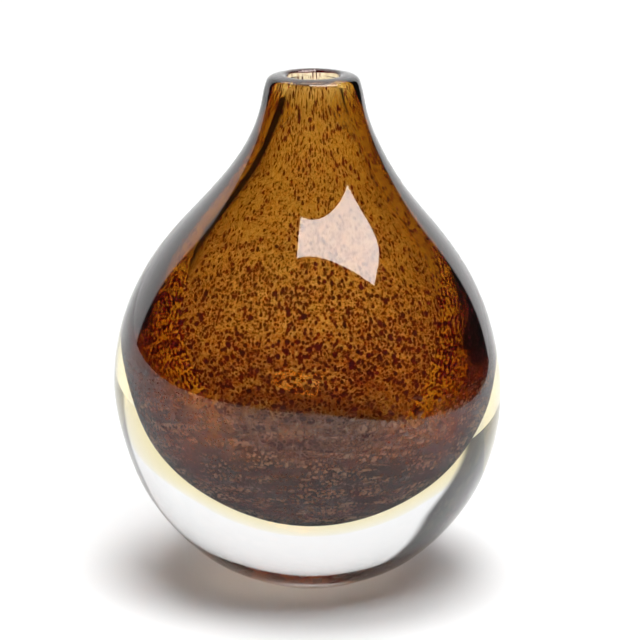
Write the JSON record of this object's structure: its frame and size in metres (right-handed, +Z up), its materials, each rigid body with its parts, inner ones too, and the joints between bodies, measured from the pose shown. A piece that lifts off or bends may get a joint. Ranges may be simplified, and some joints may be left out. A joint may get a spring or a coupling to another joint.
{
  "type": "cased glass vase",
  "caption": "Heavy hand-blown bottle vase: a flecked amber and aubergine bubble inside a thick clear casing, round belly, short neck with a rolled lip, flat foot.",
  "frame": {"origin": "centre of the flat ground foot, on the surface the vase stands on", "axes": "+Z up along the vase's axis from the foot to the mouth; -Y towards the viewer of the picture; +X to the viewer's right"},
  "size_m": [0.1492, 0.1492, 0.1975],
  "materials": {
    "casing_glass": "fire-polished clear",
    "amber_glass": "transparent amber",
    "aubergine_frit": "dark crushed-glass flecks",
    "gather_glass": "clear, slightly warm"
  },
  "bodies": {
    "root": {"clear_casing": "casing_glass", "amber_overlay": "amber_glass", "aubergine_fleck_coat": "aubergine_frit", "clear_inner_gather": "gather_glass"}
  },
  "joints": []
}
